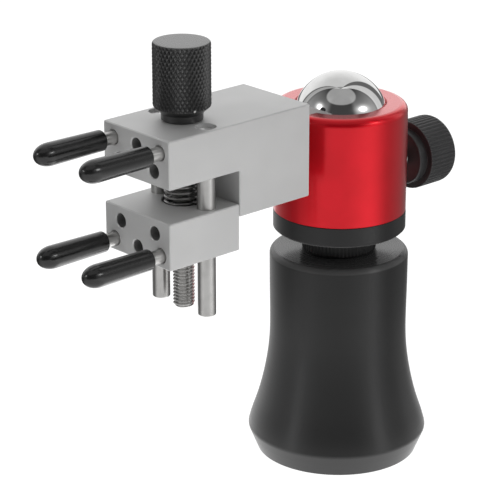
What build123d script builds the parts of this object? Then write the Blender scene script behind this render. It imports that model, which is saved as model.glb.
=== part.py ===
# Ball vise: a two-pin-row jewellery vise on a swivelling ball head.
#
# Frame: origin at the centre of the handle's bottom face, +Z up, millimetres.
# The vise arm points along +X, the clamping knob of the ball head along -X.
# The pose is the one shown: stem level in the notch, jaws 9.4 mm apart,
# ball clamped, all four pins pushed home.

from build123d import *
import math
import os

os.makedirs("parts", exist_ok=True)

# ---------------------------------------------------------------- dimensions
# handle (turned bell)
HANDLE_TOP_Z = 62.4
HANDLE_FOOT_R = 23.65         # flat bottom face
HANDLE_EDGE_R = 26.4          # widest edge, above the bevel
HANDLE_EDGE_Z = 6.7
HANDLE_EDGE_ROUND = 1.6
HANDLE_TOP_R = 20.2
HANDLE_TOP_ROUND = 1.7
STUD_HOLE_Z = 38.0            # bottom of the blind hole for the stud

# neck
STUD_R = 4.0                  # M8 stud
STUD_CLEAR_R = 4.06
COLLAR_R = 10.75
COLLAR_BOTTOM_Z = 62.45
COLLAR_TOP_Z = 68.85
STUD_HEAD_R = 6.5
STUD_HEAD_Z0 = 78.45
STUD_HEAD_Z1 = 81.0

# ball head
RING_BOTTOM_Z = 68.9
RING_TOP_Z = 74.7
HEAD_R = 19.25
RING_CHAMFER = 0.6
HEAD_BORE_R = 13.75
SPIGOT_R = 13.70
SPIGOT_Z = 78.4
SPIGOT_RIM_Z = 81.1
SPIGOT_RIM_R = 10.5
HEAD_TOP_Z = 106.6
HEAD_TOP_ROUND = 2.3
LIP_R = 12.98                 # the lip that holds the ball in
LIP_Z = 106.0
MOUTH_R = 13.25               # rim of the mouth, at the top face

# ball and stem
BALL_Z = 101.75
BALL_R = 13.6
SEAT_SPHERE_R = 13.65
STEM_R = 3.0
NOTCH_HALF = 3.3
STEM_FLANGE_R = 5.4           # shoulder that seats on the arm
STEM_FLANGE_X = 21.6
STEM_THREAD_R = 3.0           # M6 end in the arm

# seat, wedge and clamping knob
SEAT_Z0 = 81.4
SEAT_Z1 = 92.5
KNOB_Z = 84.4                 # axis of the clamping knob
LOCK_SCREW_R = 3.0            # M6
LOCK_BORE_R = 3.06
WEDGE_X0 = -14.95
WEDGE_X1 = -8.0
WEDGE_SLOPE = 0.25            # rise over run
WEDGE_START_X = -13.5
LOCK_SCREW_X0 = -35.0
LOCK_SCREW_X1 = -15.0
HUB_R = 8.25
HUB_X = -25.0
LOCK_KNOB_X0 = -27.9          # inner face of the ribbed rim
LOCK_KNOB_X1 = -38.6
LOCK_KNOB_R = 10.2
LOCK_KNOB_FACE_R = 9.2

# arm; heights below are measured from this level
ARM_Z = 101.2
ARM_X0 = 25.2
ARM_NOTCH_X = 51.2
ARM_X1 = 76.2
JAW_HALF_Y = 13.5
ARM_TOP = 12.8
UPPER_JAW_BOTTOM = -0.7
ARM_BOTTOM = -13.8
LOWER_JAW_TOP = -10.1
LOWER_JAW_BOTTOM = -23.3
LOWER_JAW_X0 = 51.35
EDGE = 0.3

# rods, screw and spring
ROD_X = 59.9
ROD_Y = 9.55
ROD_R = 2.5
ROD_BORE_R = 2.56
ROD_TOP = 11.8
ROD_RECESS_R = 2.9
ROD_BOTTOM = -40.9
SCREW_R = 3.0                 # M6 x 1
SCREW_BORE_R = 3.06
SCREW_TOP = 30.0
SCREW_BOTTOM = -41.0
SPRING_POCKET_R = 5.9
SPRING_POCKET_DEPTH = 6.0
SPRING_MEAN_R = 4.85
SPRING_WIRE_R = 0.45
SPRING_PITCH = 1.56

# thumb knob of the clamp screw
THUMB_R = 7.95
THUMB_NECK_R = 5.77
THUMB_BOTTOM = 12.85
THUMB_NECK_Z = 14.8
THUMB_KNURL_Z = 16.8
THUMB_TOP = 34.4

# pins and caps
PIN_R = 1.92
PIN_HOLE_R = 2.0
PIN_SINK_R = 2.3
PIN_DEPTH = 10.0
PIN_OUTER_Y = 9.52
PIN_INNER_Y = 7.03
UPPER_OUTER_Z = 8.88
UPPER_INNER_Z = 3.25
LOWER_INNER_Z = -14.2
LOWER_OUTER_Z = -19.85
PIN_X0 = ARM_X1 - PIN_DEPTH + 0.2
PIN_X1 = ARM_X1 + 23.2
CAP_OPEN_R = 2.9              # the sleeve thickens a little towards its nose
CAP_NOSE_R = 3.15
CAP_NOSE = 4.8
CAP_BORE_R = 1.93
CAP_X0 = ARM_X1 + 4.0
CAP_X1 = ARM_X1 + 26.4


# ------------------------------------------------------------------- helpers
def turned(points):
    """Solid of revolution about Z from (radius, z) points."""
    wire = Polyline(*[(r, 0, z) for r, z in points], close=True)
    return revolve(make_face(wire), axis=Axis.Z)


def quarter(r, z, radius):
    """Arc that rounds the outer top corner at (r, z)."""
    s = radius * (1 - math.sqrt(0.5))
    return ThreePointArc((r, 0, z - radius), (r - s, 0, z - s), (r - radius, 0, z))


def rod_z(radius, z0, z1, x=0.0, y=0.0):
    return Pos(x, y, z0) * Cylinder(radius, z1 - z0, align=(Align.CENTER, Align.CENTER, Align.MIN))


def rod_x(radius, x0, x1, y=0.0, z=0.0):
    bar = Cylinder(radius, x1 - x0, align=(Align.CENTER, Align.CENTER, Align.MIN))
    return Pos(x0, y, z) * Rot(0, 90, 0) * bar


def cone_x(r0, r1, x0, x1, y=0.0, z=0.0):
    """Frustum along +X, radius r0 at x0 and r1 at x1."""
    body = Cone(r0, r1, x1 - x0, align=(Align.CENTER, Align.CENTER, Align.MIN))
    return Pos(x0, y, z) * Rot(0, 90, 0) * body


def block(x0, x1, y0, y1, z0, z1):
    return Pos((x0 + x1) / 2, (y0 + y1) / 2, (z0 + z1) / 2) * Box(x1 - x0, y1 - y0, z1 - z0)


def save(shape, name):
    shape.label = name
    export_step(shape, f"parts/{name}.step")


# -------------------------------------------------------------------- handle
flare = Spline(
    (HANDLE_EDGE_R, 0, HANDLE_EDGE_Z),
    (25.6, 0, 9.6),
    (24.05, 0, 14.2),
    (22.35, 0, 20.3),
    (20.98, 0, 27.2),
    (20.15, 0, 34.5),
    (20.0, 0, 41.0),
    (20.12, 0, 50.0),
    (HANDLE_TOP_R, 0, HANDLE_TOP_Z - HANDLE_TOP_ROUND),
)
outline = [
    Line((0, 0, 0), (HANDLE_FOOT_R, 0, 0)),
    Line((HANDLE_FOOT_R, 0, 0), (HANDLE_EDGE_R, 0, HANDLE_EDGE_Z)),
    flare,
    quarter(HANDLE_TOP_R, HANDLE_TOP_Z, HANDLE_TOP_ROUND),
    Line((HANDLE_TOP_R - HANDLE_TOP_ROUND, 0, HANDLE_TOP_Z), (0, 0, HANDLE_TOP_Z)),
    Line((0, 0, HANDLE_TOP_Z), (0, 0, 0)),
]
handle = revolve(make_face(Wire(outline)), axis=Axis.Z)
widest = handle.edges().filter_by(GeomType.CIRCLE).sort_by(lambda e: e.radius)[-1]
handle = fillet(widest, HANDLE_EDGE_ROUND)
handle -= rod_z(STUD_R, STUD_HOLE_Z, HANDLE_TOP_Z + 1)
save(handle, "handle_body")

# ---------------------------------------------------------------------- neck
# shouldered stud: thread in the handle, head inside the ball housing
stud = turned(
    [
        (0, STUD_HOLE_Z + 1.0),
        (STUD_R - 0.6, STUD_HOLE_Z + 1.0),
        (STUD_R, STUD_HOLE_Z + 1.6),
        (STUD_R, STUD_HEAD_Z0),
        (STUD_HEAD_R, STUD_HEAD_Z0),
        (STUD_HEAD_R, STUD_HEAD_Z1 - 0.4),
        (STUD_HEAD_R - 0.4, STUD_HEAD_Z1),
        (0, STUD_HEAD_Z1),
    ]
)
socket = extrude(Pos(0, 0, STUD_HEAD_Z1 - 1.8) * RegularPolygon(2.9, 6), 3.0)
stud -= socket
save(stud, "head_stud")

collar = turned(
    [
        (STUD_CLEAR_R, COLLAR_BOTTOM_Z),
        (COLLAR_R - 0.4, COLLAR_BOTTOM_Z),
        (COLLAR_R, COLLAR_BOTTOM_Z + 0.4),
        (COLLAR_R, COLLAR_TOP_Z - 0.4),
        (COLLAR_R - 0.4, COLLAR_TOP_Z),
        (STUD_CLEAR_R, COLLAR_TOP_Z),
    ]
)
save(collar, "neck_lock_ring")

# --------------------------------------------------------------- head bottom
base_ring = turned(
    [
        (STUD_CLEAR_R, RING_BOTTOM_Z),
        (HEAD_R - RING_CHAMFER, RING_BOTTOM_Z),
        (HEAD_R, RING_BOTTOM_Z + RING_CHAMFER),
        (HEAD_R, RING_TOP_Z),
        (SPIGOT_R, RING_TOP_Z),
        (SPIGOT_R, SPIGOT_RIM_Z),
        (SPIGOT_RIM_R, SPIGOT_RIM_Z),
        (SPIGOT_RIM_R, SPIGOT_Z),
        (STUD_CLEAR_R, SPIGOT_Z),
    ]
)
save(base_ring, "base_ring")

# ------------------------------------------------------------------- housing
outline = [
    Line((0, 0, RING_TOP_Z), (HEAD_R - 0.15, 0, RING_TOP_Z)),
    Line((HEAD_R - 0.15, 0, RING_TOP_Z), (HEAD_R, 0, RING_TOP_Z + 0.15)),
    Line((HEAD_R, 0, RING_TOP_Z + 0.15), (HEAD_R, 0, HEAD_TOP_Z - HEAD_TOP_ROUND)),
    quarter(HEAD_R, HEAD_TOP_Z, HEAD_TOP_ROUND),
    Line((HEAD_R - HEAD_TOP_ROUND, 0, HEAD_TOP_Z), (0, 0, HEAD_TOP_Z)),
    Line((0, 0, HEAD_TOP_Z), (0, 0, RING_TOP_Z)),
]
housing = revolve(make_face(Wire(outline)), axis=Axis.Z)
housing -= rod_z(HEAD_BORE_R, RING_TOP_Z - 1, BALL_Z)
housing -= Pos(0, 0, BALL_Z) * Sphere(SEAT_SPHERE_R)
flare_out = (MOUTH_R - LIP_R) / (HEAD_TOP_Z - LIP_Z)
mouth = Cone(
    LIP_R, MOUTH_R + 0.2 * flare_out, HEAD_TOP_Z + 0.2 - LIP_Z,
    align=(Align.CENTER, Align.CENTER, Align.MIN),
)
housing -= Pos(0, 0, LIP_Z) * mouth
# drop notch for the stem, on the arm side
housing -= block(0, 26, -NOTCH_HALF, NOTCH_HALF, BALL_Z, HEAD_TOP_Z + 2)
housing -= rod_x(NOTCH_HALF, 0, 26, 0, BALL_Z)
# tapped hole for the clamping screw
housing -= rod_x(LOCK_BORE_R, -26, -5, 0, KNOB_Z)
save(housing, "ball_housing")

# --------------------------------------------------------------- ball, stem
ball = Pos(0, 0, BALL_Z) * Sphere(BALL_R)
ball += rod_x(STEM_R, 5.0, STEM_FLANGE_X + 1.0, 0, BALL_Z)
ball += rod_x(STEM_FLANGE_R, STEM_FLANGE_X + 0.4, ARM_X0 - 0.02, 0, BALL_Z)
ball += cone_x(
    STEM_FLANGE_R - 0.4, STEM_FLANGE_R, STEM_FLANGE_X, STEM_FLANGE_X + 0.4, 0, BALL_Z
)
ball += rod_x(STEM_THREAD_R, ARM_X0 - 1.0, ARM_X0 + 11.5, 0, BALL_Z)
ball += cone_x(STEM_THREAD_R, STEM_THREAD_R - 0.7, ARM_X0 + 11.5, ARM_X0 + 12.2, 0, BALL_Z)
save(ball, "ball_stem")

# ------------------------------------------------------- seat, wedge, screw
seat = turned(
    [
        (0, SEAT_Z0),
        (SPIGOT_R - 0.4, SEAT_Z0),
        (SPIGOT_R, SEAT_Z0 + 0.4),
        (SPIGOT_R, SEAT_Z1),
        (0, SEAT_Z1),
    ]
)
seat -= Pos(0, 0, BALL_Z) * Sphere(SEAT_SPHERE_R)


def below_slope(x0, x1, half_y, lift):
    """Everything under the wedge plane, between x0 and x1."""
    def top(x):
        return KNOB_Z + LOCK_SCREW_R + lift - WEDGE_SLOPE * (x - WEDGE_START_X)

    outline = Polyline(
        (x0, 0, KNOB_Z - 6), (x1, 0, KNOB_Z - 6), (x1, 0, top(x1)), (x0, 0, top(x0)), close=True
    )
    return extrude(make_face(outline), amount=half_y, dir=(0, 1, 0), both=True)


seat -= below_slope(-16.0, -7.0, LOCK_SCREW_R + 0.1, 0.03)
save(seat, "ball_seat")

wedge = rod_x(LOCK_SCREW_R, WEDGE_X0, WEDGE_X1, 0, KNOB_Z)
wedge = wedge & below_slope(WEDGE_X0 - 1, WEDGE_X1 + 1, 5.0, 0.0)
save(wedge, "wedge_plunger")

lock_screw = rod_x(LOCK_SCREW_R, LOCK_SCREW_X0, LOCK_SCREW_X1 - 0.6, 0, KNOB_Z)
lock_screw += cone_x(
    LOCK_SCREW_R, LOCK_SCREW_R - 0.6, LOCK_SCREW_X1 - 0.6, LOCK_SCREW_X1, 0, KNOB_Z
)
save(lock_screw, "lock_screw")

# turned profile of the moulded knob, then laid along -X
knob_len = HUB_X - LOCK_KNOB_X1
rim_z = HUB_X - LOCK_KNOB_X0
knob = turned(
    [
        (LOCK_SCREW_R, 0),
        (HUB_R - 0.5, 0),
        (HUB_R, 0.5),
        (HUB_R, rim_z),
        (LOCK_KNOB_R - 0.3, rim_z),
        (LOCK_KNOB_R, rim_z + 0.3),
        (LOCK_KNOB_R, knob_len - 1.6),
        (LOCK_KNOB_R - 0.3, knob_len - 0.7),
        (LOCK_KNOB_FACE_R, knob_len),
        (0, knob_len),
        (0, HUB_X - LOCK_SCREW_X0),
        (LOCK_SCREW_R, HUB_X - LOCK_SCREW_X0),
    ]
)
knob = Pos(HUB_X, 0, KNOB_Z) * Rot(0, -90, 0) * knob
save(knob, "lock_knob")


def pin_hole(y, z):
    hole = rod_x(PIN_HOLE_R, ARM_X1 - PIN_DEPTH, ARM_X1 + 1, y, z)
    rim = PIN_SINK_R - PIN_HOLE_R
    hole += cone_x(PIN_HOLE_R, PIN_SINK_R + 0.1, ARM_X1 - rim, ARM_X1 + 0.1, y, z)
    return hole


arm = block(ARM_X0, ARM_X1, -JAW_HALF_Y, JAW_HALF_Y, ARM_Z + ARM_BOTTOM, ARM_Z + ARM_TOP)
arm -= block(
    ARM_NOTCH_X, ARM_X1 + 1, -JAW_HALF_Y - 1, JAW_HALF_Y + 1,
    ARM_Z + ARM_BOTTOM - 1, ARM_Z + UPPER_JAW_BOTTOM,
)
arm = chamfer(arm.edges(), EDGE)
arm -= rod_x(STEM_THREAD_R + 0.05, ARM_X0 - 1, ARM_X0 + 12.8, 0, BALL_Z)
for side in (-1, 1):
    arm -= rod_z(ROD_R, ARM_Z - 2, ARM_Z + ARM_TOP + 1, ROD_X, side * ROD_Y)
    arm -= rod_z(ROD_RECESS_R, ARM_Z + ROD_TOP, ARM_Z + ARM_TOP + 1, ROD_X, side * ROD_Y)
    arm -= pin_hole(side * PIN_OUTER_Y, ARM_Z + UPPER_OUTER_Z)
    arm -= pin_hole(side * PIN_INNER_Y, ARM_Z + UPPER_INNER_Z)
arm -= pin_hole(0, ARM_Z + UPPER_OUTER_Z)
arm -= rod_z(SCREW_BORE_R, ARM_Z - 2, ARM_Z + ARM_TOP + 1, ROD_X)
arm -= rod_z(
    SPRING_POCKET_R, ARM_Z - 2, ARM_Z + UPPER_JAW_BOTTOM + SPRING_POCKET_DEPTH, ROD_X
)
save(arm, "arm_body")

# ----------------------------------------------------------------- lower jaw
jaw = block(
    LOWER_JAW_X0, ARM_X1, -JAW_HALF_Y, JAW_HALF_Y,
    ARM_Z + LOWER_JAW_BOTTOM, ARM_Z + LOWER_JAW_TOP,
)
jaw = chamfer(jaw.edges(), EDGE)
z0, z1 = ARM_Z + LOWER_JAW_BOTTOM - 1, ARM_Z + LOWER_JAW_TOP + 1
for side in (-1, 1):
    jaw -= rod_z(ROD_BORE_R, z0, z1, ROD_X, side * ROD_Y)
    jaw -= pin_hole(side * PIN_OUTER_Y, ARM_Z + LOWER_OUTER_Z)
    jaw -= pin_hole(side * PIN_INNER_Y, ARM_Z + LOWER_INNER_Z)
jaw -= pin_hole(0, ARM_Z + LOWER_OUTER_Z)
jaw -= rod_z(SCREW_BORE_R, z0, z1, ROD_X)
jaw -= rod_z(SPRING_POCKET_R, ARM_Z + LOWER_JAW_TOP - SPRING_POCKET_DEPTH, z1, ROD_X)
save(jaw, "lower_jaw")


# ---------------------------------------------------------------- guide rods
def guide_rod(side):
    r, c = ROD_R, 0.45
    body = turned(
        [
            (0, ROD_BOTTOM), (r - c, ROD_BOTTOM), (r, ROD_BOTTOM + c),
            (r, ROD_TOP - c), (r - c, ROD_TOP), (0, ROD_TOP),
        ]
    )
    return Pos(ROD_X, side * ROD_Y, ARM_Z) * body


save(guide_rod(1), "guide_rod_near")
save(guide_rod(-1), "guide_rod_far")

# --------------------------------------------------------------- clamp screw
screw = turned(
    [
        (0, SCREW_BOTTOM), (SCREW_R - 0.7, SCREW_BOTTOM), (SCREW_R, SCREW_BOTTOM + 0.7),
        (SCREW_R, SCREW_TOP), (0, SCREW_TOP),
    ]
)
save(Pos(ROD_X, 0, ARM_Z) * screw, "clamp_screw")

thumb = turned(
    [
        (SCREW_R, THUMB_BOTTOM), (THUMB_NECK_R - 0.35, THUMB_BOTTOM),
        (THUMB_NECK_R, THUMB_BOTTOM + 0.35), (THUMB_NECK_R, THUMB_NECK_Z),
        (THUMB_R, THUMB_KNURL_Z), (THUMB_R, THUMB_TOP - 0.5),
        (THUMB_R - 0.5, THUMB_TOP), (0, THUMB_TOP), (0, SCREW_TOP), (SCREW_R, SCREW_TOP),
    ]
)
save(Pos(ROD_X, 0, ARM_Z) * thumb, "thumb_knob")

# -------------------------------------------------------------------- spring
spring_z0 = LOWER_JAW_TOP - SPRING_POCKET_DEPTH + SPRING_WIRE_R + 0.03
spring_z1 = UPPER_JAW_BOTTOM + SPRING_POCKET_DEPTH - SPRING_WIRE_R - 0.03
coil = Helix(pitch=SPRING_PITCH, height=spring_z1 - spring_z0, radius=SPRING_MEAN_R)
section = Plane(origin=coil @ 0, z_dir=coil % 0) * Circle(SPRING_WIRE_R)
spring = sweep(section, path=coil, is_frenet=True)
save(Pos(ROD_X, 0, ARM_Z + spring_z0) * spring, "jaw_spring")


# ------------------------------------------------------------- pins and caps
def pin(y, z):
    body = rod_x(PIN_R, PIN_X0 + 0.3, PIN_X1 - 0.3, y, z)
    body += cone_x(PIN_R - 0.3, PIN_R, PIN_X0, PIN_X0 + 0.3, y, z)
    body += cone_x(PIN_R, PIN_R - 0.3, PIN_X1 - 0.3, PIN_X1, y, z)
    return body


def cap(y, z):
    """Dipped vinyl sleeve with a rounded closed end."""
    length = CAP_X1 - CAP_X0
    depth = PIN_X1 + 0.05 - CAP_X0
    root = length - CAP_NOSE
    start, end = (CAP_NOSE_R, 0, root), (0, 0, length)
    nose = Bezier(start, (CAP_NOSE_R, 0, root + 0.6 * CAP_NOSE), (0.6 * CAP_NOSE_R, 0, length), end)
    edges = [
        Line((CAP_BORE_R, 0, 0), (CAP_OPEN_R - 0.4, 0, 0)),
        Line((CAP_OPEN_R - 0.4, 0, 0), (CAP_OPEN_R, 0, 0.4)),
        Line((CAP_OPEN_R, 0, 0.4), start),
        nose,
        Line(end, (0, 0, depth)),
        Line((0, 0, depth), (CAP_BORE_R, 0, depth)),
        Line((CAP_BORE_R, 0, depth), (CAP_BORE_R, 0, 0)),
    ]
    body = revolve(make_face(Wire(edges)), axis=Axis.Z)
    return Pos(CAP_X0, y, z) * Rot(0, 90, 0) * body


for level, height in (("upper", UPPER_OUTER_Z), ("lower", LOWER_OUTER_Z)):
    for tag, side in (("near", 1), ("far", -1)):
        save(pin(side * PIN_OUTER_Y, ARM_Z + height), f"pin_{level}_{tag}")
        save(cap(side * PIN_OUTER_Y, ARM_Z + height), f"cap_{level}_{tag}")
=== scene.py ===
"""Looks of the ball vise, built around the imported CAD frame. Metres, row frame."""

import math

import bmesh
import bpy
import numpy as np
from mathutils import Matrix, Vector


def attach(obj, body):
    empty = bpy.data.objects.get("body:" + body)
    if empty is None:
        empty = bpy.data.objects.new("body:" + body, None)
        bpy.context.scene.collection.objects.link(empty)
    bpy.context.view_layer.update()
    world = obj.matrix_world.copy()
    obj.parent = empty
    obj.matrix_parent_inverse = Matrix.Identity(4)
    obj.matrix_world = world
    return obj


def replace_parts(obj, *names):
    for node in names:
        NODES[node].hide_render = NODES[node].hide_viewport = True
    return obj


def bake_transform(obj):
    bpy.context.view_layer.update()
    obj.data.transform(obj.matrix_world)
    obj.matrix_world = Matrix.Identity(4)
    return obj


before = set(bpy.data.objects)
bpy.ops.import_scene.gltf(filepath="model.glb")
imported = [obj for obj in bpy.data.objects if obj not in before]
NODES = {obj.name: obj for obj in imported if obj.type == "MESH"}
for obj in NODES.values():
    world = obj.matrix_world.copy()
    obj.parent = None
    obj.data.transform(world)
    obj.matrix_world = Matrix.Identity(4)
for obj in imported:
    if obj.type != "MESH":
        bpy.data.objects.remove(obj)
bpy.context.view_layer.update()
MM = 0.001
TAU = 2 * math.pi
BZ = 101.75                     # ball centre, mm
AZ = 101.2                      # reference level of the arm, mm
ARM_X = 59.9                    # axis of the clamp screw, mm
BORES = [(y, AZ + z) for y, z in ((9.52, 8.88), (0.0, 8.88), (-9.52, 8.88), (7.03, 3.25), (-7.03, 3.25), (7.03, -14.2),
                                     (-7.03, -14.2), (9.52, -19.85), (0.0, -19.85), (-9.52, -19.85))]


# ------------------------------------------------------------- mesh helpers
def make_object(name, verts, faces, sharp=32.0, weld=0.0):
    """Mesh object from millimetre vertices, with outward normals and smooth shading split at sharp edges."""
    me = bpy.data.meshes.new(name)
    me.from_pydata([(x * MM, y * MM, z * MM) for x, y, z in verts], [], faces)
    bm = bmesh.new()
    bm.from_mesh(me)
    if weld:
        bmesh.ops.remove_doubles(bm, verts=bm.verts, dist=weld * MM)
        bmesh.ops.dissolve_degenerate(bm, edges=bm.edges, dist=weld * MM * 0.5)
    open_edges = [e for e in bm.edges if e.is_boundary]
    if open_edges:
        bmesh.ops.holes_fill(bm, edges=open_edges)
    bmesh.ops.recalc_face_normals(bm, faces=bm.faces)
    bm.to_mesh(me)
    bm.free()
    me.shade_smooth()
    me.set_sharp_from_angle(angle=math.radians(sharp))
    ob = bpy.data.objects.new(name, me)
    bpy.context.scene.collection.objects.link(ob)
    return ob


def rounded(points, closed=False, steps=5, support=0.14):
    """Profile with its corners rounded. points: (radius, t, corner radius)."""
    pts = [tuple(p) + (0.0,) * (3 - len(p)) for p in points]
    n = len(pts)
    out = []
    for i, (r, t, rad) in enumerate(pts):
        p1 = np.array([r, t], float)
        if rad <= 0 or (not closed and i in (0, n - 1)):
            out.append(p1)
            continue
        p0 = np.array(pts[(i - 1) % n][:2], float)
        p2 = np.array(pts[(i + 1) % n][:2], float)
        l1, l2 = np.linalg.norm(p0 - p1), np.linalg.norm(p2 - p1)
        d1, d2 = (p0 - p1) / l1, (p2 - p1) / l2
        turn = math.pi - math.acos(max(-1.0, min(1.0, float(d1 @ d2))))
        if turn < math.radians(4):
            out.append(p1)
            continue
        tangent = min(rad * math.tan(turn / 2), 0.45 * l1, 0.45 * l2)
        rad = tangent / math.tan(turn / 2)
        bis = (d1 + d2) / np.linalg.norm(d1 + d2)
        centre = p1 + bis * rad / math.cos(turn / 2)
        a0, a1 = p1 + d1 * tangent - centre, p1 + d2 * tangent - centre
        for k in range(steps + 1):
            s = k / steps
            out.append(centre + (math.sin((1 - s) * turn) * a0 + math.sin(s * turn) * a1) / math.sin(turn))
    full = []
    m = len(out)
    for i in range(m if closed else m - 1):
        a, b = out[i], out[(i + 1) % m]
        full.append(a)
        length = np.linalg.norm(b - a)
        if length > 5 * support:
            full.append(a + (b - a) * support / length)
            full.append(b - (b - a) * support / length)
    if not closed:
        full.append(out[-1])
    return [(max(0.0, float(p[0])), float(p[1])) for p in full]


def place(axis, origin):
    """Maps (radial u, radial v, along t) to the row frame for a turned part on that axis."""
    ox, oy, oz = origin
    if axis == "Z":
        return lambda u, v, t: (ox + u, oy + v, oz + t)
    if axis == "+X":
        return lambda u, v, t: (ox + t, oy + u, oz + v)
    return lambda u, v, t: (ox - t, oy + u, oz - v)


def turned(name, profile, axis="Z", origin=(0, 0, 0), seg=192, closed=False, field=None, sharp=32.0):
    """Surface of revolution from (radius, t) points. field(angle array, t, r) may lower the radius."""
    put = place(axis, origin)
    ang = np.arange(seg) * TAU / seg
    cos, sin = np.cos(ang), np.sin(ang)
    verts, rings = [], []
    for r, t in profile:
        if r < 1e-6:
            rings.append([len(verts)])
            verts.append(put(0.0, 0.0, t))
            continue
        rr = np.full(seg, r) if field is None else field(ang, t, r)
        rings.append(list(range(len(verts), len(verts) + seg)))
        verts += [put(float(a), float(b), t) for a, b in zip(rr * cos, rr * sin)]
    faces = []
    pairs = list(zip(rings[:-1], rings[1:]))
    if closed:
        pairs.append((rings[-1], rings[0]))
    for a, b in pairs:
        if len(a) == 1 and len(b) == 1:
            continue
        for i in range(seg):
            j = (i + 1) % seg
            if len(a) == 1:
                faces.append((a[0], b[i], b[j]))
            elif len(b) == 1:
                faces.append((a[i], a[j], b[0]))
            elif field is None:
                faces.append((a[i], a[j], b[j], b[i]))
            else:
                # split along the deeper diagonal, so that grooves stay straight
                pa, pb, pc, pd = (np.array(verts[k]) for k in (a[i], a[j], b[j], b[i]))
                o = np.array(put(0.0, 0.0, 0.0))
                ax = np.array(put(0.0, 0.0, 1.0)) - o

                def rad(p):
                    d = p - o
                    return np.linalg.norm(d - (d @ ax) * ax)
                if rad((pa + pc) / 2) <= rad((pb + pd) / 2) + 1e-9:
                    faces += [(a[i], a[j], b[j]), (a[i], b[j], b[i])]
                else:
                    faces += [(a[i], a[j], b[i]), (a[j], b[j], b[i])]
    return make_object(name, verts, faces, sharp=sharp, weld=1e-4)


def tri(x):
    """0 at the crest, 1 at the bottom of a V groove, one groove per unit."""
    return 2 * np.abs((x % 1.0) - 0.5)


def join(target, *others):
    bpy.context.view_layer.update()
    bm = bmesh.new()
    bm.from_mesh(target.data)
    for o in others:
        bm.from_mesh(o.data)
        bpy.data.objects.remove(o)
    bm.to_mesh(target.data)
    bm.free()
    return target


def threaded(name, axis, origin, t0, t1, major=3.0, pitch=1.0, depth=0.6134, seg=72, cham0=0.0, cham1=0.0, rows=10):
    """Right-hand external thread between t0 and t1, its ends chamfered by cham0 and cham1."""
    put = place(axis, origin)
    shape = [0.0, 0.0, 0.0, 0.27, 0.66, 0.95, 1.0, 1.0, 0.95, 0.62, 0.25]
    at = [-0.06, 0.0, 0.06, 0.17, 0.29, 0.38, 0.44, 0.52, 0.60, 0.71, 0.83]
    xs = np.array(at + [0.94, 1.0])
    ys = np.array(shape + [0.0, 0.0])

    def radius(z, phase):
        f = phase % 1.0
        r = major - depth * float(np.interp(f, xs, ys))
        if cham0:
            r = min(r, major - cham0 + (z - t0))
        if cham1:
            r = min(r, major - cham1 + (t1 - z))
        return r
    count = int(math.ceil((t1 - t0) / pitch)) + 1
    total = count * rows + rows
    index = {}
    verts = []
    for j in range(total + 1):
        for i in range(seg):
            a = TAU * i / seg
            raw = t0 + (j / rows - 1) * pitch + pitch * i / seg
            z = min(max(raw, t0), t1)
            phase = (z - t0) / pitch - i / seg
            r = radius(z, phase)
            index[j, i] = len(verts)
            verts.append(put(r * math.cos(a), r * math.sin(a), z))
    faces = []
    for j in range(total):
        for i in range(seg):
            if i < seg - 1:
                faces.append((index[j, i], index[j, i + 1], index[j + 1, i + 1], index[j + 1, i]))
            elif j + 1 + rows <= total:
                faces.append((index[j, i], index[j + rows, 0], index[j + 1 + rows, 0], index[j + 1, i]))
    return make_object(name, verts, faces, sharp=40, weld=2e-3)


def tube(name, centres, radius, sides=14, taper=0.0):
    """Round tube along a list of points, closed at both ends."""
    c = np.array(centres, float)
    tan = np.gradient(c, axis=0)
    tan /= np.linalg.norm(tan, axis=1)[:, None]
    up = np.array([0, 0, 1.0])
    side = np.cross(tan, up)
    side /= np.linalg.norm(side, axis=1)[:, None]
    nor = np.cross(side, tan)
    verts, n = [], len(c)
    for k in range(n):
        for s in range(sides):
            a = TAU * s / sides
            verts.append(tuple(c[k] + radius * (math.cos(a) * side[k] + math.sin(a) * nor[k])))
    faces = []
    for k in range(n - 1):
        for s in range(sides):
            q = (s + 1) % sides
            faces.append((k * sides + s, k * sides + q, (k + 1) * sides + q, (k + 1) * sides + s))
    return make_object(name, verts, faces, sharp=50)


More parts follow.
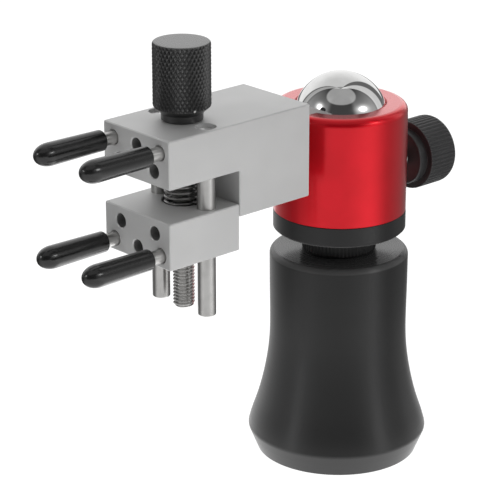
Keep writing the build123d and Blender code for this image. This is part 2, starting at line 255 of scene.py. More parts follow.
# ---------------------------------------------------------- material helpers
class Graph:
    def __init__(self, tree):
        self.t = tree
        tree.nodes.clear()

    def node(self, kind, **props):
        n = self.t.nodes.new(kind)
        for k, v in props.items():
            setattr(n, k, v)
        return n

    def put(self, socket, value):
        if isinstance(value, bpy.types.NodeSocket):
            self.t.links.new(value, socket)
        else:
            socket.default_value = value

    def math(self, op, a, b=None, c=None, clamp=False):
        n = self.node("ShaderNodeMath", operation=op, use_clamp=clamp)
        for s, v in zip(n.inputs, (a, b, c)):
            if v is not None:
                self.put(s, v)
        return n.outputs[0]

    def vmath(self, op, a, b=None):
        n = self.node("ShaderNodeVectorMath", operation=op)
        self.put(n.inputs[0], a)
        if b is not None:
            self.put(n.inputs[1], b)
        return n.outputs["Value"] if op in ("DOT_PRODUCT", "LENGTH") else n.outputs[0]

    def ramp(self, x, lo, hi, a=0.0, b=1.0, smooth=True):
        n = self.node("ShaderNodeMapRange", interpolation_type="SMOOTHSTEP" if smooth else "LINEAR")
        n.clamp = True
        self.put(n.inputs["Value"], x)
        n.inputs["From Min"].default_value = lo
        n.inputs["From Max"].default_value = hi
        n.inputs["To Min"].default_value = a
        n.inputs["To Max"].default_value = b
        return n.outputs["Result"]

    def noise(self, vec, scale, detail=2.0, rough=0.5, dim="3D"):
        n = self.node("ShaderNodeTexNoise", noise_dimensions=dim)
        self.put(n.inputs["Vector"], vec)
        n.inputs["Scale"].default_value = scale
        n.inputs["Detail"].default_value = detail
        n.inputs["Roughness"].default_value = rough
        return n.outputs["Fac"]

    def mix(self, fac, a, b):
        n = self.node("ShaderNodeMix", data_type="RGBA")
        self.put(n.inputs["Factor"], fac)
        ins = [s for s in n.inputs if s.type == "RGBA"]
        self.put(ins[0], a)
        self.put(ins[1], b)
        return [s for s in n.outputs if s.type == "RGBA"][0]

    def mm(self, centre=(0, 0, 0)):
        """Object coordinates in millimetres from a centre."""
        tc = self.node("ShaderNodeTexCoord")
        s = self.node("ShaderNodeVectorMath", operation="SCALE")
        self.put(s.inputs[0], tc.outputs["Object"])
        s.inputs["Scale"].default_value = 1000.0
        return self.vmath("SUBTRACT", s.outputs[0], tuple(centre)) if any(centre) else s.outputs[0]

    def turned(self, vec, axis):
        """(distance from the axis, place along it, 0), so that noise makes turning marks."""
        sep = self.node("ShaderNodeSeparateXYZ")
        self.put(sep.inputs[0], vec)
        x, y, z = sep.outputs
        u, v, t = (x, y, z) if axis == "Z" else (y, z, x)
        r = self.math("SQRT", self.math("ADD", self.math("MULTIPLY", u, u), self.math("MULTIPLY", v, v)))
        com = self.node("ShaderNodeCombineXYZ")
        self.put(com.inputs[0], r)
        self.put(com.inputs[1], t)
        return com.outputs[0]

    def bump(self, height, microns, normal=None):
        n = self.node("ShaderNodeBump")
        n.inputs["Strength"].default_value = 1.0
        n.inputs["Distance"].default_value = microns * 1e-6
        self.put(n.inputs["Height"], height)
        if normal is not None:
            self.put(n.inputs["Normal"], normal)
        return n.outputs[0]

    def edge(self, radius_mm, samples=6):
        n = self.node("ShaderNodeBevel", samples=samples)
        n.inputs["Radius"].default_value = radius_mm * MM
        return n.outputs[0]

    def around(self, axis="Z"):
        """Tangent that runs round the axis of a turned part."""
        return self.node("ShaderNodeTangent", direction_type="RADIAL", axis=axis).outputs[0]

    def principled(self, color, rough, metallic=0.0, normal=None, tangent=None, **const):
        out = self.node("ShaderNodeOutputMaterial")
        p = self.node("ShaderNodeBsdfPrincipled")
        if tangent is not None:
            self.put(p.inputs["Tangent"], tangent)
            p.inputs["Anisotropic Rotation"].default_value = 0.25
        self.put(p.inputs["Base Color"], color)
        self.put(p.inputs["Roughness"], rough)
        self.put(p.inputs["Metallic"], metallic)
        if normal is not None:
            self.put(p.inputs["Normal"], normal)
        for k, v in const.items():
            p.inputs[k.replace("_", " ")].default_value = v
        self.t.links.new(p.outputs[0], out.inputs["Surface"])
        return p


def material(name):
    m = bpy.data.materials.new(name)
    m.use_nodes = True
    return m, Graph(m.node_tree)


def col(a, b=None, c=None):
    return (a, a if b is None else b, a if c is None else c, 1.0)


def anodised_black(name, axis="Z", centre=(0, 0, 0), rough=0.3, base=0.014, crest=0.0, fleck=None, ior=1.7, spread=0.0, face=None, foot=None):
    """Black anodised, turned aluminium. spread stretches its highlights across the turning marks.
    face: (height where it starts, height of the end face, its roughness, its grey), for a finely turned end; its grey
    is a painted sheen, a lighter tone from the start height up.
    foot: (full below, none above, its grey), a painted highlight: the lower edge painted pale."""
    m, g = material(name)
    vec = g.mm(centre)
    tv = g.turned(vec, axis)
    cloud = g.noise(vec, 0.09, 3.0)
    color = g.mix(g.ramp(cloud, 0.3, 0.7), col(base * 0.85, base * 0.85, base * 0.9), col(base * 1.2, base * 1.2, base * 1.24))
    lines = g.noise(tv, 5.5, 3.0, 0.6, "2D")
    grain = g.noise(vec, 14.0, 1.0)
    metal = 0.0
    if crest:
        geo = g.node("ShaderNodeNewGeometry")
        worn = g.ramp(g.math("ADD", geo.outputs["Pointiness"], g.math("MULTIPLY", g.math("SUBTRACT", g.noise(vec, 1.6, 2.0), 0.5), 0.10)), 0.53, 0.62)
        color = g.mix(g.math("MULTIPLY", worn, crest), color, col(0.16, 0.155, 0.15))
    if fleck:
        # fleck: a small near-white, slightly metallic spot at one given point on the knurl's lower edge
        d = g.vmath("SUBTRACT", g.mm(), tuple(fleck[0]))
        near = g.ramp(g.vmath("LENGTH", d), fleck[1] * 0.75, fleck[1] * 1.05, 1.0, 0.0)
        color = g.mix(near, color, col(0.92, 0.92, 0.90))
        metal = g.math("MULTIPLY", near, 0.25)
    r = g.math("ADD", g.math("MULTIPLY", g.math("SUBTRACT", lines, 0.5), 0.10), rough)
    height = g.math("ADD", g.math("MULTIPLY", lines, 0.7), g.math("MULTIPLY", grain, 0.3))
    if face:
        level = g.vmath("DOT_PRODUCT", vec, (0, 0, 1))
        flat = g.ramp(level, face[1] - 0.08, face[1] - 0.02)
        r = g.math("ADD", r, g.math("MULTIPLY", flat, face[2] - rough))
        height = g.math("MULTIPLY", height, g.ramp(level, face[1] - 0.08, face[1] - 0.02, 1.0, 0.04))
        # painted sheen: from the start height up, the end and its rounded edge are painted a lighter grey
        color = g.mix(g.ramp(level, face[0], face[0] + 0.5), color, col(face[3]))
    if foot:
        # painted highlight: the lower edge is painted a pale grey
        low = g.ramp(g.vmath("DOT_PRODUCT", vec, (0, 0, 1)), foot[0], foot[1], 1.0, 0.0)
        color = g.mix(low, color, col(foot[2]))
    nb = g.bump(height, 1.8)
    if spread:
        g.principled(color, r, metal, nb, g.around(axis), IOR=ior, Anisotropic=spread)
    else:
        g.principled(color, r, metal, nb, IOR=ior)
    return m


def build_materials():
    M = {}
    # face: the handle's top and its rounded edge carry a painted sheen, a lighter grey
    M["handle"] = anodised_black("black_anodised_handle", rough=0.42, base=0.003, spread=0.9, ior=1.5, face=(60.75, 62.4, 0.27, 0.05))
    # foot: the ring's lower edge carries a painted highlight
    M["ring"] = anodised_black("black_anodised_ring", rough=0.40, base=0.004, spread=0.9, ior=1.5, foot=(69.05, 69.25, 0.09))
    M["collar"] = anodised_black("black_anodised_collar", rough=0.46, base=0.006, ior=1.5)
    # face: the knob's top carries a painted sheen, a lighter grey
    M["thumb"] = anodised_black("black_anodised_knob", centre=(ARM_X, 0, 0), rough=0.30, base=0.007, crest=0.30, ior=1.7,
                                face=(AZ + 34.2, AZ + 34.4, 0.27, 0.14),
                                fleck=((61.86, 7.62, 117.95), 0.42))
    # red anodised housing: dyed oxide over metal, under a clear coat
    m, g = material("red_anodised_satin")
    vec = g.mm()
    tv = g.turned(vec, "Z")
    lines = g.noise(tv, 5.0, 3.0, 0.6, "2D")
    cloud = g.noise(vec, 0.12, 2.0)
    color = g.mix(g.ramp(cloud, 0.3, 0.7), (0.68, 0.0020, 0.0115, 1), (0.73, 0.0026, 0.014, 1))
    r = g.math("ADD", g.math("MULTIPLY", g.math("SUBTRACT", lines, 0.5), 0.08), 0.40)
    flat = g.ramp(g.vmath("DOT_PRODUCT", vec, (0, 0, 1)), 106.4, 106.55)
    r = g.math("SUBTRACT", r, g.math("MULTIPLY", flat, 0.17))
    # the flat top is glossier; its darker red is painted shade that dims its sheen
    color = g.mix(flat, color, (0.52, 0.0018, 0.0095, 1))
    nb = g.bump(g.math("ADD", lines, g.math("MULTIPLY", g.noise(vec, 12.0, 1.0), 0.4)), 1.2, g.edge(0.10))
    g.principled(color, r, 0.9, nb, g.around(), IOR=1.4, Anisotropic=0.7, Coat_Weight=1.0, Coat_Roughness=0.20, Coat_IOR=1.3)
    M["red"] = m
    # chrome ball
    m, g = material("polished_chrome")
    vec = g.mm((0, 0, BZ))
    haze = g.noise(vec, 0.35, 3.0)
    scr = g.noise(g.vmath("MULTIPLY", vec, (0.4, 9.0, 9.0)), 1.0, 2.0)
    r = g.math("ADD", g.math("MULTIPLY", haze, 0.03), g.math("MULTIPLY", scr, 0.02))
    color = g.mix(g.ramp(haze, 0.35, 0.7), col(0.58, 0.58, 0.575), col(0.62, 0.62, 0.615))
    g.principled(color, g.math("ADD", r, 0.015), 1.0, g.bump(scr, 0.08))
    M["chrome"] = m

    def steel(name, axis, centre, rough=0.2, base=0.60, tint=(1.0, 0.99, 0.97), scale=4.0, microns=1.6, spread=0.0, end=None):
        m, g = material(name)
        vec = g.mm(centre)
        tv = g.turned(vec, axis)
        lines = g.noise(tv, scale, 3.0, 0.65, "2D")
        cloud = g.noise(vec, 0.3, 2.0)
        color = g.mix(g.ramp(cloud, 0.3, 0.7), col(*[base * 0.93 * t for t in tint]), col(*[base * 1.05 * t for t in tint]))
        r = g.math("ADD", g.math("MULTIPLY", g.math("SUBTRACT", lines, 0.5), 0.14), rough)
        if end:
            # painted highlight: the faced end is painted near-white and made rougher, so it shows light in its recess
            tip = g.ramp(g.vmath("DOT_PRODUCT", vec, (0, 0, 1)), end - 0.06, end - 0.02)
            r = g.ramp(g.vmath("DOT_PRODUCT", vec, (0, 0, 1)), end - 0.06, end - 0.02, rough, 0.50)
            color = g.mix(tip, color, col(0.90))
        if spread:
            g.principled(color, r, 1.0, g.bump(lines, microns), g.around(axis), Anisotropic=spread)
        else:
            g.principled(color, r, 1.0, g.bump(lines, microns))
        return m
    M["rod_near"] = steel("ground_steel_near", "Z", (ARM_X, 9.55, 0), rough=0.32, base=0.48, spread=0.8, microns=0.8, end=AZ + 11.8)
    M["rod_far"] = steel("ground_steel_far", "Z", (ARM_X, -9.55, 0), rough=0.32, base=0.48, spread=0.8, microns=0.8, end=AZ + 11.8)
    M["screw"] = steel("bright_screw", "Z", (ARM_X, 0, 0), rough=0.28, base=0.46)
    M["stem_screw"] = steel("lock_screw_steel", "X", (0, 0, 84.4), rough=0.3, base=0.45)
    M["stud"] = steel("stud_steel", "Z", (0, 0, 0), rough=0.3, base=0.5)
    M["brass"] = steel("turned_brass", "X", (0, 0, 84.4), rough=0.3, base=0.75, tint=(1.0, 0.78, 0.42))
    for lv, z in (("upper", AZ + 8.88), ("lower", AZ - 19.85)):
        for tg, y in (("near", 9.52), ("far", -9.52)):
            M[f"pin_{lv}_{tg}"] = steel(f"pin_steel_{lv}_{tg}", "X", (0, y, z), rough=0.3, base=0.52)

    # satin aluminium blocks
    m, g = material("satin_aluminium")
    vec = g.mm()
    grain = g.noise(vec, 9.0, 3.0, 0.7)
    cloud = g.noise(vec, 0.05, 2.0)
    fine = g.noise(g.vmath("MULTIPLY", vec, (0.35, 3.0, 3.0)), 2.2, 2.0)
    color = g.mix(g.ramp(cloud, 0.3, 0.7), col(0.61, 0.61, 0.608), col(0.65, 0.65, 0.647))
    # painted shade: the insides of the drilled holes are painted a darker grey
    bore_shade = None
    for y, z in BORES:
        off = g.vmath("MULTIPLY", g.vmath("SUBTRACT", vec, (0.0, y, z)), (0.0, 1.0, 1.0))
        hole = g.ramp(g.vmath("LENGTH", off), 1.98, 2.08, 1.0, 0.0)
        bore_shade = hole if bore_shade is None else g.math("MAXIMUM", bore_shade, hole)
    along = g.vmath("DOT_PRODUCT", vec, (1, 0, 0))
    deep = g.math("MULTIPLY", g.ramp(along, 75.7, 75.95, 1.0, 0.0), g.ramp(along, 65.7, 66.0))
    color = g.mix(g.math("MULTIPLY", bore_shade, deep), color, col(0.30))
    r = g.math("ADD", g.math("MULTIPLY", g.math("SUBTRACT", grain, 0.5), 0.10), 0.55)
    h = g.math("ADD", grain, g.math("MULTIPLY", fine, 0.35))
    g.principled(color, r, 0.5, g.bump(h, 3.0, g.edge(0.12)), IOR=1.4)
    M["alu"] = m

    # moulded lock knob
    m, g = material("moulded_black")
    vec = g.mm()
    grain = g.noise(vec, 7.0, 3.0, 0.65)
    color = g.mix(g.ramp(g.noise(vec, 0.25, 2.0), 0.3, 0.7), col(0.020, 0.020, 0.021), col(0.027, 0.027, 0.028))
    r = g.math("ADD", g.math("MULTIPLY", g.math("SUBTRACT", grain, 0.5), 0.12), 0.42)
    g.principled(color, r, 0.0, g.bump(grain, 7.0), IOR=1.5)
    M["moulded"] = m

    # dipped vinyl caps
    m, g = material("dipped_vinyl")
    vec = g.mm()
    wave = g.noise(vec, 0.5, 2.0)
    speck = g.noise(vec, 6.0, 2.0)
    color = g.mix(g.ramp(wave, 0.3, 0.7), col(0.009), col(0.013))
    r = g.math("ADD", g.math("MULTIPLY", g.math("SUBTRACT", speck, 0.5), 0.08), 0.20)
    h = g.math("ADD", wave, g.math("MULTIPLY", speck, 0.02))
    g.principled(color, r, 0.0, g.bump(h, 40.0), IOR=1.52)
    M["vinyl"] = m

    # blackened spring wire
    m, g = material("spring_black")
    vec = g.mm()
    oxide = g.noise(vec, 1.2, 3.0)
    color = g.mix(g.ramp(oxide, 0.35, 0.7), col(0.20, 0.198, 0.195), col(0.28, 0.277, 0.273))
    r = g.math("ADD", g.math("MULTIPLY", oxide, 0.10), 0.16)
    g.principled(color, r, 0.8, g.bump(oxide, 0.5), IOR=1.9)
    M["spring"] = m

    # acetal seat
    m, g = material("acetal")
    vec = g.mm()
    grain = g.noise(vec, 6.0, 2.0)
    color = g.mix(g.ramp(g.noise(vec, 0.4, 2.0), 0.3, 0.7), col(0.78, 0.78, 0.75), col(0.84, 0.84, 0.81))
    r = g.math("ADD", g.math("MULTIPLY", grain, 0.12), 0.36)
    g.principled(color, r, 0.0, g.bump(grain, 4.0))
    M["acetal"] = m
    return M


MAT = build_materials()


def dress(ob, mat):
    ob.data.materials.clear()
    ob.data.materials.append(MAT[mat])
    return ob


# ------------------------------------------------------------------- pieces
def spline_points(knots, count):
    """Natural cubic spline through the knots, by chord length."""
    p = np.array(knots, float)
    s = np.concatenate([[0], np.cumsum(np.linalg.norm(np.diff(p, axis=0), axis=1))])
    n = len(p)
    h = np.diff(s)
    A = np.zeros((n, n))
    A[0, 0] = A[-1, -1] = 1
    for i in range(1, n - 1):
        A[i, i - 1], A[i, i], A[i, i + 1] = h[i - 1], 2 * (h[i - 1] + h[i]), h[i]
    out = []
    t = np.linspace(0, s[-1], count)
    for k in range(2):
        y = p[:, k]
        b = np.zeros(n)
        b[1:-1] = 3 * ((y[2:] - y[1:-1]) / h[1:] - (y[1:-1] - y[:-2]) / h[:-1])
        c = np.linalg.solve(A, b)
        i = np.clip(np.searchsorted(s, t, side="right") - 1, 0, n - 2)
        d = (c[i + 1] - c[i]) / (3 * h[i])
        bb = (y[i + 1] - y[i]) / h[i] - h[i] * (2 * c[i] + c[i + 1]) / 3
        dt = t - s[i]
        out.append(y[i] + bb * dt + c[i] * dt ** 2 + d * dt ** 3)
    return list(zip(out[0], out[1]))


def build_handle():
    flare = spline_points([(26.4, 6.7), (25.6, 9.6), (24.05, 14.2), (22.35, 20.3), (20.98, 27.2),
                           (20.15, 34.5), (20.0, 41.0), (20.12, 50.0), (20.2, 60.7)], 60)
    pts = [(0, 0, 0), (23.65, 0.0, 0.25), (26.4, 6.7, 1.7)]
    pts += [(r, z, 0) for r, z in flare[2:-1]]
    pts += [(18.5 + 1.7 * math.cos(a), 60.7 + 1.7 * math.sin(a), 0) for a in np.linspace(0, math.pi / 2, 11)]
    pts += [(4.5, 62.4, 0.0), (4.0, 61.9, 0), (4.0, 38.0, 0), (0, 38.0, 0)]
    ob = turned("handle", rounded(pts), seg=256)
    dress(ob, "handle")
    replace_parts(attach(ob, "base"), "handle_body")


def build_collar():
    n, depth = 60, 0.20

    def field(a, t, r):
        if r < 9.5:
            return np.full(len(a), r)
        f = np.clip((tri(a * n / TAU) - 0.18) / 0.72, 0, 1)
        return np.minimum(r, 10.75 - depth * f)
    c = 0.45
    prof = [(4.06, 62.45), (8.0, 62.45), (10.1, 62.45), (10.75 - c, 62.45)]
    prof += [(10.75 - c + c * k / 4, 62.45 + c * k / 4) for k in range(1, 5)]
    prof += [(10.75, 63.4), (10.75, 64.5), (10.75, 65.5), (10.75, 66.6), (10.75, 67.9)]
    prof += [(10.75 - c * k / 4, 68.85 - c + c * k / 4) for k in range(0, 5)]
    prof += [(10.1, 68.85), (8.0, 68.85), (4.06, 68.85)]
    ob = turned("lock_ring", prof, seg=n * 8, closed=True, field=field, sharp=40)
    dress(ob, "collar")
    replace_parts(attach(ob, "collar"), "neck_lock_ring")


def build_ring():
    pts = [(4.06, 68.9, 0), (18.65, 68.9, 0.14), (19.25, 69.5, 0.14), (19.25, 74.68, 0.14), (13.72, 74.68, 0),
           (13.7, 81.1, 0.2), (10.5, 81.1, 0.2), (10.5, 78.4, 0), (4.06, 78.4, 0.2)]
    ob = turned("head_base_ring", rounded(pts, closed=True), seg=256, closed=True)
    dress(ob, "ring")
    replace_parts(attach(ob, "head"), "base_ring")


def build_ball():
    """Ball about the X axis, with its stem and the threaded end in the arm."""
    r, stem = 13.6, 3.0
    a1 = math.asin(stem / r)
    prof = []
    n = 150
    for k in range(n + 1):
        a = math.pi - (math.pi - a1 - 0.02) * k / n          # from the -X pole to the stem
        prof.append((r * math.sin(a), r * math.cos(a)))
    x0 = prof[-1][1]
    # small root radius where the ball meets the stem
    prof += [(stem + 0.10, x0 + 0.10), (stem, x0 + 0.35), (stem, x0 + 0.8), (stem, 18.0), (stem, 21.4), (stem, 21.6),
             (3.2, 21.6), (4.9, 21.6), (5.15, 21.66), (5.34, 21.85), (5.4, 22.1), (5.4, 22.5), (5.4, 24.8),
             (5.33, 25.1), (5.2, 25.18), (3.2, 25.18), (3.0, 25.18), (3.0, 25.3), (3.0, 36.7), (2.3, 37.4), (0.0, 37.4)]
    prof[0] = (0.0, -r)
    ob = turned("ball_and_stem", prof, axis="+X", origin=(0, 0, BZ), seg=224)
    dress(ob, "chrome")
    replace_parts(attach(ob, "ball"), "ball_stem")


def build_lock():
    n, depth = 50, 0.30

    def field(a, t, r):
        if r < 9.4 or t < 2.85:
            return np.full(len(a), r)
        f = np.clip((tri(a * n / TAU) - 0.22) / 0.66, 0, 1)
        f = f * f * (3 - 2 * f)
        w = np.clip((t - 3.0) / 0.35, 0, 1) * np.clip((12.75 - t) / 0.5, 0, 1)
        return np.minimum(r, 10.2 - depth * f * w)
    pts = [(3.0, 0, 0), (8.25, 0, 0.45), (8.25, 2.9, 0.12), (10.2, 2.9, 0.28)]
    prof = rounded(pts + [(10.2, 4.0, 0)])
    prof += [(10.2, t) for t in (5.0, 6.5, 8.0, 9.5, 11.0, 11.8)]
    prof += [(10.2 - 1.0 * (1 - math.cos(s)) * 1.0, 12.0 + 1.6 * math.sin(s)) for s in np.linspace(0.0, math.pi / 2, 9)]
    prof += rounded([(9.2, 13.6, 0), (8.4, 13.6, 0.0), (7.9, 13.2, 0.3), (4.0, 13.2, 0), (0.0, 13.2, 0)])[1:]
    ob = turned("lock_knob_grip", prof + [], axis="-X", origin=(-25.0, 0, 84.4), seg=n * 10, field=field, sharp=40)
    dress(ob, "moulded")
    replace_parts(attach(ob, "lock"), "lock_knob")
    sc = threaded("lock_screw_thread", "-X", (-15.0, 0, 84.4), 0.0, 20.0, cham0=0.6, cham1=0.3)
    dress(sc, "stem_screw")
    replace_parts(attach(sc, "lock"), "lock_screw")


def build_rods():
    for tag, y in (("near", 9.55), ("far", -9.55)):
        pts = [(0, -40.9, 0), (2.5, -40.9, 0.42), (2.5, 11.8, 0.42), (0, 11.8, 0)]
        ob = turned(f"rod_{tag}", rounded(pts), origin=(ARM_X, y, AZ), seg=96)
        dress(ob, f"rod_{tag}")
        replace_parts(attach(ob, "arm"), f"guide_rod_{tag}")


def build_screw():
    ob = threaded("clamp_screw_thread", "Z", (ARM_X, 0, AZ), -41.0, 12.7, cham0=0.75, seg=80)
    core = turned("core", rounded([(0, 12.6, 0), (2.98, 12.6, 0), (2.98, 30.0, 0), (0, 30.0, 0)]), origin=(ARM_X, 0, AZ), seg=64)
    join(ob, core)
    dress(ob, "screw")
    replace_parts(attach(ob, "screw"), "clamp_screw")


def build_thumb():
    n, lead, depth, R = 40, 2.16, 0.34, 7.95
    top = 34.4

    def field(a, t, r):
        if r < 7.45 or t < 16.2:
            return np.full(len(a), r)
        u = a * n / TAU + t / lead
        v = a * n / TAU - t / lead
        g = np.maximum(tri(u), tri(v))
        f = np.clip((g - 0.22) / 0.70, 0, 1)
        return np.minimum(r, R - depth * f)
    low = rounded([(3.0, 30.0, 0), (3.0, 12.85, 0.0), (5.77, 12.85, 0.35), (5.77, 14.8, 0.25), (7.95, 16.8, 0)])
    prof = [p for p in low if p[1] < 16.0 or p[0] <= 3.01]
    for t in (16.1, 16.35, 16.5, 16.65):
        prof.append((5.77 + (t - 14.8) * 1.09, t))
    step = lead / 6
    t = math.ceil(16.8 / step) * step
    prof.append((7.95, 16.8))
    while t < top - 0.42:
        if t > 16.85:
            prof.append((R, t))
        t += step
    prof += [(R - 0.02, top - 0.42), (R - 0.12, top - 0.3), (R - 0.25, top - 0.16), (R - 0.38, top - 0.06), (R - 0.55, top - 0.01),
             (R - 0.8, top), (5.0, top), (2.5, top), (0.0, top)]
    ob = turned("thumb_knob_grip", prof, origin=(ARM_X, 0, AZ), seg=n * 6, field=field, sharp=24)
    # inside end of the bore
    dress(ob, "thumb")
    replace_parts(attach(ob, "screw"), "thumb_knob")


def build_spring():
    r, wire = 4.85, 0.45
    z0, z1 = 85.58, 106.02
    turns_mid = (z1 - z0 - 2 * 0.95) / 1.56
    zs, total = [], turns_mid + 2.0
    steps = int(total * 56)
    for k in range(steps + 1):
        s = total * k / steps
        if s < 1.0:
            z = z0 + 0.95 * s
        elif s > total - 1.0:
            z = z1 - 0.95 * (total - s)
        else:
            z = z0 + 0.95 + 1.56 * (s - 1.0)
        zs.append((s, z))
    z = np.array([q[1] for q in zs])
    k = np.ones(17) / 17
    pad = np.concatenate([z[0] - (z[1] - z[0]) * np.arange(8, 0, -1), z, z[-1] + (z[-1] - z[-2]) * np.arange(1, 9)])
    z = np.convolve(pad, k, "valid")
    pts = [(ARM_X + r * math.cos(TAU * s + 0.9), r * math.sin(TAU * s + 0.9), zz) for (s, _), zz in zip(zs, z)]
    ob = tube("clamp_spring", pts, wire, sides=16)
    dress(ob, "spring")
    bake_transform(ob)
    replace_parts(ob, "jaw_spring")


def build_pins():
    nose = 4.9
    for lv, z in (("upper", AZ + 8.88), ("lower", AZ - 19.85)):
        for tg, y in (("near", 9.52), ("far", -9.52)):
            body = f"pin_{lv}_{tg}_set"
            pin = turned(f"holding_pin_{lv}_{tg}", rounded([(0, 66.4, 0), (1.92, 66.4, 0.3), (1.92, 99.4, 0.3), (0, 99.4, 0)]),
                         axis="+X", origin=(0, y, z), seg=64)
            dress(pin, f"pin_{lv}_{tg}")
            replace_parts(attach(pin, body), f"pin_{lv}_{tg}")
            x0, x1, open_r, r = 80.2, 102.6, 2.9, 3.15
            prof = rounded([(1.95, 99.45, 0), (1.95, x0, 0.12), (open_r, x0, 0.75), (open_r + 0.04, x0 + 3.0, 0)])
            prof += [(open_r + (r - open_r) * (x - x0) / (x1 - nose - x0), x) for x in np.linspace(x0 + 4.5, x1 - nose, 9)]
            for k in range(1, 25):
                s = k / 24
                b = math.sin(s * math.pi / 2)
                prof.append((r * max(0.0, 1 - b ** 2.1) ** 0.5, x1 - nose + nose * b))
            prof[-1] = (0.0, x1)
            prof = [(0.0, 99.45)] + prof
            cap = turned(f"vinyl_cap_{lv}_{tg}", prof, axis="+X", origin=(0, y, z), seg=96, sharp=60)
            dress(cap, "vinyl")
            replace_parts(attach(cap, body), f"cap_{lv}_{tg}")


build_handle()
build_collar()
build_ring()
build_ball()
build_lock()
build_rods()
build_screw()
build_thumb()
build_spring()
build_pins()

# carried-over CAD nodes
for node, mat in (("ball_housing", "red"), ("arm_body", "alu"), ("lower_jaw", "alu"), ("head_stud", "stud"),
                  ("ball_seat", "acetal"), ("wedge_plunger", "brass")):
    dress(NODES[node], mat)


# -------------------------------------------------------------------- stage
# azimuth 0 of the light directions is towards the camera; positive turns to the picture's right
H = Vector((0.6762, 0.7368, 0.0))
S = Vector((-0.7368, 0.6762, 0.0))


# strength of the lit floor: the sheet, the pool of light at the foot, and the room by direction
FLOOR = {"sheet": 1.04, "pool": 1.2}
FLOOR_ROUND = {-135: 0.22, -90: 0.04, -45: 0.95, 0: 0.95, 45: 1.2, 90: 0.32, 135: 0.14}


def build_stage():
    me = bpy.data.meshes.new("floor")
    s = 6.0
    me.from_pydata([(-s, -s, -0.00005), (s, -s, -0.00005), (s, s, -0.00005), (-s, s, -0.00005)], [], [(0, 1, 2, 3)])
    floor = bpy.data.objects.new("floor", me)
    bpy.context.scene.collection.objects.link(floor)
    m, g = material("floor_pale")
    vec = g.mm()
    color = g.mix(g.noise(vec, 0.02, 2.0), col(0.10), col(0.13))
    # one lit white sheet: under, behind and in front of the object, falling off to the sides
    ahead = g.vmath("DOT_PRODUCT", vec, tuple(H))
    aside = g.vmath("DOT_PRODUCT", vec, tuple(S))
    away = g.vmath("LENGTH", g.vmath("SUBTRACT", vec, tuple(S * -9.0)))
    # the sheet widens away from the camera
    wide = g.math("ADD", g.math("ABSOLUTE", g.math("ADD", aside, 26.0)), g.math("MULTIPLY", ahead, 0.11))
    sheet = g.math("MULTIPLY", g.ramp(ahead, 41.0, 54.0, 1.0, 0.0), g.ramp(wide, 78.0, 92.0, 1.0, 0.0))
    turn = g.math("ARCTAN2", aside, ahead)
    deg = math.radians
    room = None
    for at in FLOOR_ROUND:
        rise = g.ramp(turn, deg(at - 45), deg(at))
        fall = g.ramp(turn, deg(at), deg(at + 45), 1.0, 0.0)
        lobe = g.math("MULTIPLY", g.math("MULTIPLY", rise, fall), FLOOR_ROUND[at])
        room = lobe if room is None else g.math("ADD", room, lobe)
    beyond = g.math("MULTIPLY", g.math("SUBTRACT", 1.0, sheet), room)
    pool = g.ramp(away, 36.0, 62.0, FLOOR["pool"], 0.0)
    lit = g.math("ADD", g.math("ADD", g.math("MULTIPLY", sheet, FLOOR["sheet"]), beyond), pool)
    # seen directly, the floor is one plain white
    seen = g.node("ShaderNodeLightPath").outputs["Is Camera Ray"]
    lit = g.math("ADD", g.math("MULTIPLY", lit, g.math("SUBTRACT", 1.0, seen)), g.math("MULTIPLY", seen, FLOOR["sheet"]))
    p = g.principled(color, 0.9, 0.0, None, Specular_IOR_Level=0.0, Emission_Color=(1, 1, 1, 1))
    g.put(p.inputs["Emission Strength"], lit)
    me.materials.append(m)


build_stage()

# every light of the studio, as one sky: strength of each part
SKY = {"back": 1.23, "dark_r": 0.12, "light_r": 0.85, "inner_r": 0.36, "light_l": 0.5, "dark_l": 0.1, "inner_l": 0.30,
       "front": 0.08, "top": 0.44, "box_l": 24.0, "box_r": 18.0, "low": 0.4}


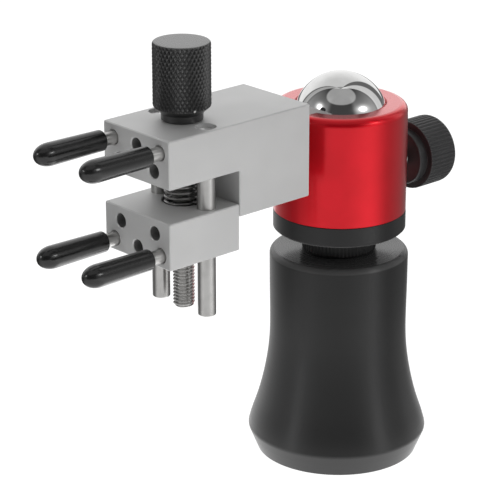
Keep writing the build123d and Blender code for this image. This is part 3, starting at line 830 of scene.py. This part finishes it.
def build_world():
    w = bpy.data.worlds.new("studio")
    bpy.context.scene.world = w
    w.use_nodes = True
    g = Graph(w.node_tree)
    tc = g.node("ShaderNodeTexCoord")
    d = g.vmath("NORMALIZE", tc.outputs["Generated"])
    a = g.vmath("DOT_PRODUCT", d, tuple(H))
    b = g.vmath("DOT_PRODUCT", d, tuple(S))
    sep = g.node("ShaderNodeSeparateXYZ")
    g.put(sep.inputs[0], d)
    z = sep.outputs[2]
    deg = math.radians
    az = g.math("ARCTAN2", b, a)
    el = g.math("ARCSINE", z)

    def box(x, lo, hi, soft):
        up = g.ramp(x, deg(lo - soft), deg(lo + soft))
        down = g.ramp(x, deg(hi - soft), deg(hi + soft), 1.0, 0.0)
        return g.math("MULTIPLY", up, down)

    def strength(name, mask):
        v = g.node("ShaderNodeValue", name=name, label=name)
        v.outputs[0].default_value = SKY[name]
        return g.math("MULTIPLY", v.outputs[0], mask)
    parts = []
    # white sweep behind the object, a little darker higher up
    back = g.math("SUBTRACT", 1.0, box(az, -127, 146, 1.6))
    fade = g.ramp(el, deg(20), deg(60), 1.0, 0.74)
    # oval grey reflector overhead, tipped towards the camera
    tip = deg(72)
    centre = H * math.cos(tip) + Vector((0, 0, math.sin(tip)))
    across = g.math("DIVIDE", b, math.sin(deg(31.5)))
    along = g.math("DIVIDE", g.vmath("DOT_PRODUCT", d, tuple(Vector((0, 0, 1)) * math.cos(tip) - H * math.sin(tip))), math.sin(deg(25.0)))
    oval = g.math("SQRT", g.math("ADD", g.math("MULTIPLY", across, across), g.math("MULTIPLY", along, along)))
    disc = g.math("MULTIPLY", g.ramp(oval, 0.93, 1.05, 1.0, 0.0), g.ramp(g.vmath("DOT_PRODUCT", d, tuple(centre)), 0.5, 0.6))
    roof = g.math("SUBTRACT", 1.0, disc)
    parts.append(strength("back", g.math("MULTIPLY", g.math("MULTIPLY", back, fade), roof)))
    parts.append(strength("dark_r", box(az, 129, 146, 1.6)))
    parts.append(strength("light_r", box(az, 106, 129, 1.8)))
    parts.append(strength("dark_l", box(az, -127, -122.5, 1.0)))
    parts.append(strength("light_l", box(az, -122.5, -110, 1.5)))
    # room to the sides, darker higher up
    side_fade = g.ramp(el, deg(15), deg(66), 1.25, 0.0, smooth=False)
    parts.append(strength("inner_r", g.math("MULTIPLY", box(az, 38, 106, 9), side_fade)))
    parts.append(strength("inner_l", g.math("MULTIPLY", box(az, -110, -38, 9), side_fade)))
    parts.append(strength("front", box(az, -127, 146, 3)))
    parts.append(strength("top", disc))

    def soft_box(name, az0, el0, half_w, half_h, tilt):
        """Lamp behind a diffuser: a bright middle in a wide soft glow."""
        c = (H * math.cos(deg(az0)) + S * math.sin(deg(az0))) * math.cos(deg(el0)) + Vector((0, 0, math.sin(deg(el0))))
        side = Vector((0, 0, 1)).cross(c).normalized()
        up = c.cross(side).normalized()
        side, up = (side * math.cos(deg(tilt)) + up * math.sin(deg(tilt)), up * math.cos(deg(tilt)) - side * math.sin(deg(tilt)))
        x = g.math("DIVIDE", g.vmath("DOT_PRODUCT", d, tuple(side)), math.sin(deg(half_w)))
        y = g.math("DIVIDE", g.vmath("DOT_PRODUCT", d, tuple(up)), math.sin(deg(half_h)))
        front = g.ramp(g.vmath("DOT_PRODUCT", d, tuple(c)), 0.2, 0.3)
        q = g.math("ADD", g.math("MULTIPLY", x, x), g.math("MULTIPLY", y, y))
        glow = g.math("ADD", g.math("MULTIPLY", g.math("EXPONENT", g.math("MULTIPLY", q, -1.0)), 0.075),
                      g.math("EXPONENT", g.math("MULTIPLY", q, -6.0)))
        return strength(name, g.math("MULTIPLY", glow, front))
    parts.append(soft_box("box_l", -66, 31, 9, 7, 0))
    parts.append(soft_box("box_r", 62, 27, 15, 7, -16))
    total = parts[0]
    for p in parts[1:]:
        total = g.math("ADD", total, p)
    low = g.ramp(el, deg(-2), deg(2), 1.0, 0.0)
    keep = g.math("SUBTRACT", 1.0, low)
    total = g.math("ADD", g.math("MULTIPLY", total, keep), strength("low", low))
    bg = g.node("ShaderNodeBackground")
    g.put(bg.inputs["Strength"], total)
    bg.inputs["Color"].default_value = (1, 1, 1, 1)
    out = g.node("ShaderNodeOutputWorld")
    g.t.links.new(bg.outputs[0], out.inputs["Surface"])


build_world()

cam_data = bpy.data.cameras.new("camera")
cam_data.sensor_width = 36.0
cam_data.lens = 172.69
cam_data.clip_start, cam_data.clip_end = 0.05, 20.0
cam = bpy.data.objects.new("camera", cam_data)
bpy.context.scene.collection.objects.link(cam)
cam.location = (0.46299, 0.46615, 0.30541)
look = Vector((-0.633767, -0.690564, -0.348518))
cam.rotation_mode = "QUATERNION"
cam.rotation_quaternion = look.to_track_quat("-Z", "Y")
bpy.context.scene.camera = cam
bpy.context.scene.view_settings.view_transform = "Standard"
bpy.context.scene.view_settings.look = "None"
